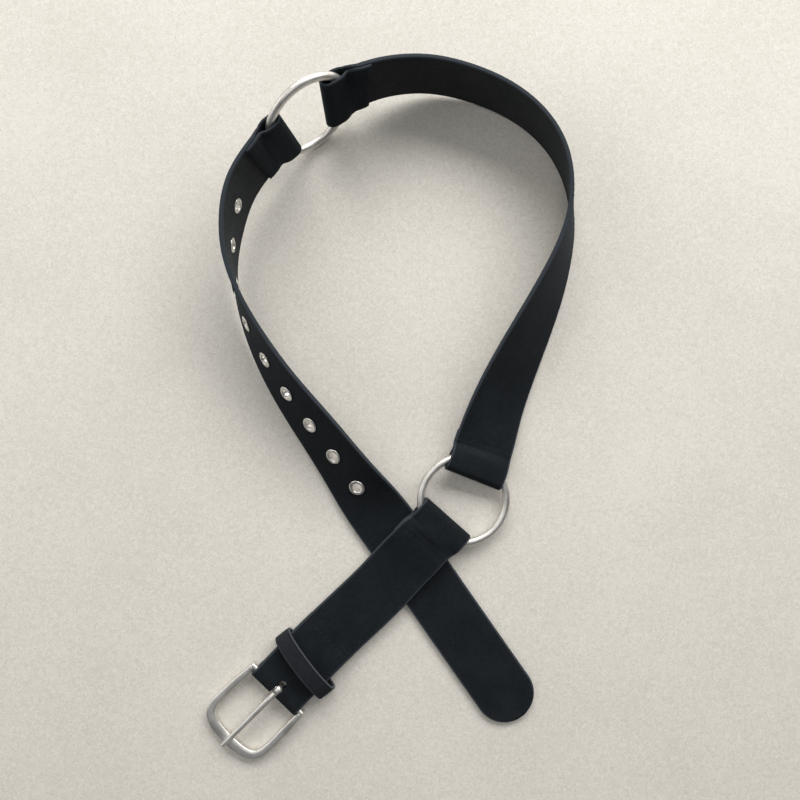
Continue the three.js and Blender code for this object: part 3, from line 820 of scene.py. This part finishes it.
# An eyelet's radii and heights: its front flange and its rolled back, each clear of the leather by
# its lift, and its barrel
FLANGE_RADIUS = 5.2
FLANGE_WIDTH = 2.2
FLANGE_RISE = 0.92
FLANGE_LIFT = 0.08
BACK_FROM = 3.0
BACK_WIDTH = 1.7
BACK_RISE = 0.72
BACK_LIFT = 0.06
BARREL_INNER = 2.98
BARREL_OUTER = 3.5
ARCH_POWER = 0.8

# The cutter of an eyelet's hole, which starts a hair off its axis
HOLE_RADIUS = 3.95
HOLE_REACH = 6
AXIS_RADIUS = 0.001


def hole_cutter(i):
    """A rod through the strap, a little wider than an eyelet's barrel."""
    centre, front, along = eyelet_place(i)
    corners = ((AXIS_RADIUS, -1), (HOLE_RADIUS, -1), (HOLE_RADIUS, 1), (AXIS_RADIUS, 1))
    profile = [(radius, end * HOLE_REACH) for radius, end in corners]
    return turned(f"hole {i}", profile, centre, front, along, STRAP_NUBUCK)


def arch(share, start, spread):
    """A flattened arch: a sine over a stretch of its half turn, raised to a power under one."""
    return np.sin(np.pi * (start + spread * share)) ** ARCH_POWER


def eyelet(i):
    """One eyelet: a front flange and a rolled back, whose rises are flattened arches, and the
    barrel between them."""
    centre, front, along = eyelet_place(i)
    face = STRAP_SKIN / 2
    dome, roll = np.linspace(0, 1, 9), np.linspace(0, 1, 8)
    flange_rise = FLANGE_LIFT + FLANGE_RISE * arch(dome, start=0.12, spread=0.76)
    flange = np.stack([FLANGE_RADIUS - FLANGE_WIDTH * dome, face + flange_rise], -1)
    inside = [(BARREL_INNER, face - 0.6), (BARREL_INNER, 0.4 - face)]
    back_rise = BACK_LIFT + BACK_RISE * arch(roll, start=0.15, spread=0.75)
    back = np.stack([BACK_FROM + BACK_WIDTH * roll, -face - back_rise], -1)
    outside = [(BARREL_OUTER, 0.02 - face), (BARREL_OUTER, face - 0.02)]
    profile = np.vstack([flange, inside, back, outside])
    return turned(f"eyelet_{i + 1}_metal", profile, centre, front, along, EYELET_NICKEL)


# Powers of a rod's section, from round to flattened, and the steps round a ring
ROUND = 2.0
NEARLY_ROUND = 2.3
FLATTENED = 3.0
RING_STEPS = 168


def ring(name, axes):
    """A ring of round wire: the wire's circle carried round the ring's own circle."""
    place, along, up, axis = axes
    angle = np.linspace(0, 2 * np.pi, RING_STEPS, endpoint=False)
    radial = np.cos(angle)[:, None] * along + np.sin(angle)[:, None] * up
    centre = place + radial * RING_RADIUS
    return swept(name, centre, radial, axis, RING_WIRE, RING_WIRE, ROUND, SATIN_NICKEL, closed=True)


# One stitch: its length and thickest radius, how far its ends dip and how blunt they are
STITCH_LENGTH = 2.5
STITCH_RADIUS = 0.27
STITCH_DIP = 0.28
STITCH_BLUNT = 0.04


def stitches(name, centre, along, normal):
    """A row of stitches: each is a small spindle laid along the seam. Its radius follows the root of
    a half sine, and its ends dip into the leather by the cube of the distance from its middle."""
    t = np.linspace(0, 1, 7)
    angle = np.linspace(0, 2 * np.pi, 6, endpoint=False)
    side = np.cross(normal, along)
    swell = STITCH_RADIUS * np.sin(np.pi * np.clip(t, STITCH_BLUNT, 1 - STITCH_BLUNT)) ** 0.5
    dip = -STITCH_DIP * np.abs(2 * t - 1) ** 3
    forwards = along[:, None] * ((t - 0.5) * STITCH_LENGTH)[None, :, None]
    line = centre[:, None] + forwards + normal[:, None] * dip[None, :, None]
    turn_side = side[:, None, None] * np.cos(angle)[None, None, :, None]
    turn_up = normal[:, None, None] * np.sin(angle)[None, None, :, None]
    points = line[:, :, None] + (turn_side + turn_up) * swell[None, :, None, None]
    count, rows, columns = points.shape[:3]
    caps = np.array([[3, 2, 1, 0], [5, 4, 3, 0], [0, 1, 2, 3], [0, 3, 4, 5]])
    caps[2:] += (rows - 1) * columns
    one = np.vstack([grid_faces(rows, columns), caps])
    faces = (one[None] + (np.arange(count) * rows * columns)[:, None, None]).reshape(-1, 4)
    return outward(add_mesh(name, points.reshape(-1, 3), faces, THREAD))


# Heights of the seams' stitches from the strap's middle and their places along it. Long seams stop
# LONG_SEAM_IN from a joint, where the eye's own seam takes over.
FACE_DEPTH = STRAP_SKIN / 2 - STITCH_SUNK
SEAM_BACK = FLAP_DEPTH + FLAP_SKIN / 2 - STITCH_SUNK
SEAM_FRONT = STRAP_SKIN / 2 - 0.22
SEAM_IN = 2.5
LONG_SEAM_IN = 6
BUCKLE_SEAM = BUCKLE_LENGTH - BUCKLE_FLAP + 3.5
STITCH_EDGE = STRAP_WIDTH / 2 - STITCH_IN
CROSS_EDGE = STRAP_WIDTH / 2 - 3.2
STITCH_LEAN = 0.09


def seam(path, start, end, over, face):
    """Places along a strap for a row of stitches, over millimetres from its middle, on its front
    for face 1 or on its back for face -1. Each leans a little to the seam."""
    read = path(np.arange(start, end, STITCH_PITCH))
    normal = read["front"] * face
    centre = read["centre"] + read["across"] * over + normal * FACE_DEPTH
    return centre, unit(read["along"] + read["across"] * STITCH_LEAN), normal


def cross_seams(path, at):
    """Places across a strap for two rows of stitches, one on its front and one on its flap's back."""
    over = np.arange(-CROSS_EDGE, CROSS_EDGE, STITCH_PITCH)
    read = path(np.full(len(over), float(at)))
    rows = []
    for face, depth in ((1, SEAM_FRONT), (-1, SEAM_BACK)):
        normal = read["front"] * face
        centre = read["centre"] + read["across"] * over[:, None] + normal * depth
        rows.append((centre, unit(read["across"] + read["along"] * STITCH_LEAN), normal))
    return rows


def long_seams(path, start, end, faces=(1, -1)):
    """Rows of stitches along both edges of a strap, on its front and back."""
    return [seam(path, start, end, over, face) for over in (STITCH_EDGE, -STITCH_EDGE) for face in faces]


def gathered(rows):
    """Several rows of stitches as one."""
    return [np.concatenate(parts) for parts in zip(*rows)]


def tip_seams():
    """Stitches along the edges, round the free end on a half circle, and across at the eye."""
    rows = long_seams(tip_path, STRAP_WIDTH / 2, TIP_LENGTH - LONG_SEAM_IN)
    turn = STITCH_PITCH / STITCH_EDGE
    angle = np.arange(turn / 2, np.pi, turn)
    sine, cosine = np.sin(angle)[:, None], np.cos(angle)[:, None]
    read = tip_path(STRAP_WIDTH / 2 - STITCH_EDGE * sine[:, 0])
    for face in (1, -1):
        normal = read["front"] * face
        centre = read["centre"] + read["across"] * STITCH_EDGE * cosine + normal * FACE_DEPTH
        rows.append((centre, unit(-read["along"] * cosine - read["across"] * sine), normal))
    return gathered(rows + cross_seams(tip_path, TIP_LENGTH - SEAM_IN))


def middle_seams():
    """Stitches along the edges and across at both eyes."""
    rows = long_seams(middle_path, LONG_SEAM_IN, MIDDLE_LENGTH - LONG_SEAM_IN)
    for at in (SEAM_IN, MIDDLE_LENGTH - SEAM_IN):
        rows += cross_seams(middle_path, at)
    return gathered(rows)


def buckle_seams():
    """Stitches along the edges, on the front alone where the long flap lies behind, and across."""
    flap_end = BUCKLE_LENGTH - BUCKLE_FLAP
    rows = long_seams(buckle_path, LONG_SEAM_IN, flap_end - 1)
    rows += long_seams(buckle_path, flap_end, BUCKLE_LENGTH - 1, faces=(1,))
    for at in (SEAM_IN, BUCKLE_SEAM):
        rows += cross_seams(buckle_path, at)
    return gathered(rows)


# The keeper: its size, its place along the strap, its turn in degrees and its shift to one side
KEEPER_WIDTH = 11.2
KEEPER_SKIN = 2.0
KEEPER_AT = 109.2
KEEPER_SKEW = -8.4
KEEPER_ASIDE = -1.2
KEEPER_STEPS = 160

# The keeper's middle line: across from the strap's middle, up from the floor
KEEPER_LINE = [
    (0, 1.25),
    (10, 1.25),
    (21.3, 1.35),
    (23, 2.6),
    (23.2, 5.2),
    (21.6, 8.8),
    (14.5, 12.1),
    (7, 13.6),
    (0, 14),
]


def closed_curve(points, count):
    """A closed centripetal curve: the open one through three rounds of points, its middle round."""
    p = np.asarray(points, float)
    return through(np.vstack([p, p, p, p[:1]]), 3 * count)[count : 2 * count]


def keeper():
    """The keeper: a closed band round the strap, arched over its front, with soft folds at its
    two upper corners. Its heading is the strap's, turned level by the skew."""
    read = buckle_path(KEEPER_AT)
    heading = unit(read["along"][0] * [1, 1, 0])
    skew = math.radians(KEEPER_SKEW)
    along = heading * math.cos(skew) + np.cross([0, 0, 1], heading) * math.sin(skew)
    across = np.array([along[1], -along[0], 0])
    half = np.array(KEEPER_LINE, float)
    mirrored = half[1:-1][::-1] * [-1, 1]
    line = closed_curve(np.vstack([half, mirrored]), KEEPER_STEPS)
    base = read["centre"][0] * [1, 1, 0]
    centre = base + across * (line[:, :1] + KEEPER_ASIDE) + np.array([0, 0, 1]) * line[:, 1:]
    return stations(centre, np.broadcast_to(along, centre.shape), KEEPER_WIDTH, KEEPER_SKIN, run=0.0)


# The buckle's turn and forward drop and the prong's own turn, in degrees, and its shift to one side
BUCKLE_TURN = -1.0
BUCKLE_DROP = 2.3
PRONG_TURN = 0.3
PRONG_ASIDE = 0.35
BAR_RADIUS = 1.9
BAR_REACH = 23.0
BAR_STEPS = 93
BOW_HALF_DEPTH = 2.0
BOW_STEPS = 168


def buckle_axes(turn, drop):
    """The buckle's axes at the heel bar: across the strap, forwards and out of the front, turned
    about the front and dropped forwards, in degrees."""
    x, y, z = bar_across, bar_along, bar_front
    a, b = math.radians(turn), math.radians(drop)
    x, y = x * math.cos(a) + y * math.sin(a), y * math.cos(a) - x * math.sin(a)
    return x, y * math.cos(b) - z * math.sin(b), z * math.cos(b) + y * math.sin(b)


# The right half of the bow's middle line: x, y in the buckle's axes and the wire's width
BOW = [
    (0, 45.7, 7.3),
    (6, 45.5, 7.3),
    (13.5, 44.3, 7.0),
    (19.2, 41.2, 6.2),
    (21.9, 35.5, 5.5),
    (22.4, 28, 5.1),
    (22.1, 16, 5.1),
    (21.5, 4, 4.3),
    (21.4, -0.4, 4.0),
]


def merged(name, parts):
    """Several meshes as one piece."""
    bpy.ops.object.select_all(action="DESELECT")
    for part in parts:
        part.select_set(True)
    bpy.context.view_layer.objects.active = parts[0]
    bpy.ops.object.join()
    parts[0].name = name
    return parts[0]


def buckle_frame():
    """The bow, a flattened wire along a smooth curve whose ends round off at the bar, and the heel
    bar, a round rod."""
    x, y, z = buckle_axes(BUCKLE_TURN, BUCKLE_DROP)
    half = np.array(BOW, float)
    rows = np.vstack([half[1:][::-1] * [-1, 1, 1], half])
    line = through(rows, BOW_STEPS)
    along = np.gradient(line[:, :2], axis=0)
    along /= np.linalg.norm(along, axis=1, keepdims=True)
    run = np.concatenate([[0], np.cumsum(np.linalg.norm(np.diff(line[:, :2], axis=0), axis=1))])
    left = np.minimum(run, run[-1] - run)
    round_off = rounded_end(left, reach=1.7, least=0.02)
    centre = bar_centre + line[:, :1] * x + line[:, 1:2] * y
    side = along[:, 1:] * x - along[:, :1] * y
    half_wide, half_deep = line[:, 2] / 2 * round_off, BOW_HALF_DEPTH * round_off
    bow = swept("bow", centre, side, z, half_wide, half_deep, FLATTENED, SATIN_NICKEL, sides=32)
    reach = np.linspace(-BAR_REACH, BAR_REACH, BAR_STEPS)
    radius = BAR_RADIUS * rounded_end(BAR_REACH - np.abs(reach), reach=0.7, least=0.3)
    line = bar_centre + reach[:, None] * x
    bar = swept("bar", line, y, z, radius, radius, ROUND, SATIN_NICKEL, sides=24)
    return merged("buckle_bow_and_bar", [bow, bar])


# The prong's middle line: y forwards and z out of the front in the buckle's axes, and its thickness
PRONG_LINE = [
    (2.6, 1.6, 3.2),
    (6.5, 2.0, 3.8),
    (14, 2.1, 3.8),
    (30, 2.2, 3.5),
    (44, 2.1, 3.1),
    (49.7, 1.6, 2.8),
]

# How far the prong's rounding runs past its line, its depth as a share of its width, and its steps
PRONG_PAST = 0.9
PRONG_DEPTH = 0.96
PRONG_STEPS = 90

# Half of the prong's loop in section: radius from the bar's axis and height along it
LOOP_EDGE = [
    (2.25, -1.5),
    (2.35, -1.85),
    (3.4, -1.85),
    (3.65, -1.5),
]


def prong():
    """The prong: a tapering wire with a rounded tip, and a loop of flat strip round the bar."""
    x, y, z = buckle_axes(BUCKLE_TURN + PRONG_TURN, 0)
    line = through(PRONG_LINE, PRONG_STEPS)
    left = line[-1, 0] + PRONG_PAST - line[:, 0]
    half = line[:, 2] / 2 * rounded_end(left, reach=1.6, least=0.05)
    middle = bar_centre - PRONG_ASIDE * x
    centre = middle + line[:, :1] * y + line[:, 1:2] * z
    depth = half * PRONG_DEPTH
    shank = swept("shank", centre, x, z, half, depth, NEARLY_ROUND, SATIN_NICKEL, sides=24)
    one_side = np.array(LOOP_EDGE)
    other_side = one_side[::-1] * [1, -1]
    loop = turned("loop", np.vstack([one_side, other_side]), middle, x, y, SATIN_NICKEL)
    return merged("prong_and_loop", [shank, loop])


# The slot for the prong, in the buckle's axes: half its width, where its round back end starts, how
# far that bulges, its front end, and how far the cutter reaches to either side of the bar
SLOT_HALF_WIDTH = 2.6
SLOT_BACK = -5.6
SLOT_BULGE = 2.4
SLOT_FRONT = 8.0
SLOT_HEIGHT = 8.4


def slot_cutter():
    """The slot in the buckle strap's eye: straight sides, and half an ellipse at the back end."""
    x, y, z = buckle_axes(BUCKLE_TURN, 0)
    turn = np.linspace(0, np.pi, 17)
    outline = np.vstack([
        np.stack([-SLOT_HALF_WIDTH * np.cos(turn), SLOT_BACK - SLOT_BULGE * np.sin(turn)], -1),
        [(SLOT_HALF_WIDTH, SLOT_FRONT), (-SLOT_HALF_WIDTH, SLOT_FRONT)],
    ])
    heights = np.array([-SLOT_HEIGHT, SLOT_HEIGHT])
    base = bar_centre + outline[:, :1] * x + outline[:, 1:] * y
    points = base[None] + heights[:, None, None] * z
    columns = len(outline)
    ends = [list(range(columns)), list(range(columns, 2 * columns))[::-1]]
    faces = grid_faces(2, columns).tolist() + ends
    return outward(add_mesh("slot", points, faces, STRAP_NUBUCK))


def settle(piece, ride_on, slot_name, *nodes):
    """Gives a piece its body and hides the solids that it stands for. Its slot_name, the finish's slot,
    is not used.
    """
    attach(piece, ride_on)
    if nodes:
        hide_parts(*nodes)


tip = ribbon("tip_strap_leather", tip_strap(), STRAP_NUBUCK, seams=(TIP_LENGTH - SEAM_IN,))
settle(cut(tip, [hole_cutter(i) for i in range(EYELET_COUNT)]), "belt", "nubuck", "tip_strap")
both_ends = (SEAM_IN, MIDDLE_LENGTH - SEAM_IN)
middle = ribbon("middle_strap_leather", middle_strap(), STRAP_NUBUCK, seams=both_ends)
settle(middle, "belt", "nubuck", "middle_strap")
buckle = ribbon("buckle_strap_leather", buckle_strap(), STRAP_NUBUCK, seams=(SEAM_IN, BUCKLE_SEAM))
settle(cut(buckle, [slot_cutter()]), "belt", "nubuck", "buckle_strap")
band = ribbon("keeper_leather", keeper(), KEEPER_NUBUCK, closed=True, groove=0.1, line=1.7)
settle(band, "belt", "keeper_nubuck", "keeper")
for i in range(EYELET_COUNT):
    settle(eyelet(i), "belt", "eyelet_metal", f"eyelet_{i + 1}")
settle(ring("upper_ring_wire", upper_ring), "upper_ring_body", "satin_metal", "upper_ring")
settle(ring("lower_ring_wire", lower_ring), "lower_ring_body", "satin_metal", "lower_ring")
settle(buckle_frame(), "frame_body", "satin_metal", "buckle_frame")
settle(prong(), "prong_body", "satin_metal", "buckle_prong")
for strap_name, seams in (("tip", tip_seams), ("middle", middle_seams), ("buckle", buckle_seams)):
    settle(stitches(f"{strap_name}_strap_stitching", *seams()), "belt", "nubuck")


# The studio, in metres: half the floor's side and the camera's height over it
FLOOR_REACH = 3.0
CAMERA_HEIGHT = 0.470


def floor():
    """A flat pale floor with a fine grain and faint clouds."""
    made, tree, shader = material("pale floor")
    place = node(tree, "TexCoord").outputs["Object"]
    cloud = noise(tree, place, 9.0, detail=5.0, roughness=0.6)
    grain = noise(tree, place, 460.0, detail=4.0, roughness=0.75, lacunarity=2.3, distortion=1.6)
    shade = ramp(tree, weighted(tree, grain, 4.0, cloud), 2.0, 3.0)
    colour = mixed(tree, shade, (0.655, 0.62, 0.555, 1), (0.785, 0.755, 0.69, 1))
    tree.links.new(colour, shader.inputs["Base Color"])
    shader.inputs["Roughness"].default_value = 0.85
    mesh = bpy.data.meshes.new("floor")
    corners = [(x * FLOOR_REACH, y * FLOOR_REACH, 0) for x, y in ((-1, -1), (1, -1), (1, 1), (-1, 1))]
    mesh.from_pydata(corners, [], [(0, 1, 2, 3)])
    mesh.materials.append(made)
    piece = bpy.data.objects.new("floor", mesh)
    bpy.context.scene.collection.objects.link(piece)


def lamp(name, place, size, power, colour):
    """A flat lamp that faces the belt: its place and size in metres, its power in watts."""
    data = bpy.data.lights.new(name, "AREA")
    data.shape = "RECTANGLE"
    data.size, data.size_y = size
    data.energy = power
    data.color = colour
    piece = bpy.data.objects.new(name, data)
    piece.location = place
    piece.rotation_mode = "QUATERNION"
    piece.rotation_quaternion = (-Vector(place)).to_track_quat("-Z", "Y")
    bpy.context.scene.collection.objects.link(piece)


def camera():
    """Straight down over the belt's middle, at the height that gives the photograph's perspective."""
    data = bpy.data.cameras.new("camera")
    data.sensor_width = 36
    data.lens = 32.8
    data.clip_start, data.clip_end = 0.02, 20
    piece = bpy.data.objects.new("camera", data)
    piece.location = (-CENTRE[0] / 1000, -CENTRE[1] / 1000, CAMERA_HEIGHT)
    bpy.context.scene.collection.objects.link(piece)
    bpy.context.scene.camera = piece


def soft_room():
    """A dim, faintly blue surround. Colours are shown as they are, without a film's curve."""
    world = bpy.data.worlds.new("soft room")
    world.use_nodes = True
    surround = world.node_tree.nodes["Background"]
    surround.inputs["Color"].default_value = (0.93, 0.96, 1.0, 1)
    surround.inputs["Strength"].default_value = 0.14
    bpy.context.scene.world = world
    bpy.context.scene.view_settings.view_transform = "Standard"


floor()
camera()
soft_room()
lamp("window bank", place=(0.5, 1.45, 1.0), size=(2.8, 0.85), power=53, colour=(1.0, 0.99, 0.975))
lamp("left card", place=(-1.35, 0.45, 0.75), size=(1.3, 1.0), power=7, colour=(1.0, 0.985, 0.96))
lamp("ceiling", place=(-0.3, 0.1, 2.2), size=(1.1, 1.1), power=7, colour=(1.0, 0.985, 0.96))
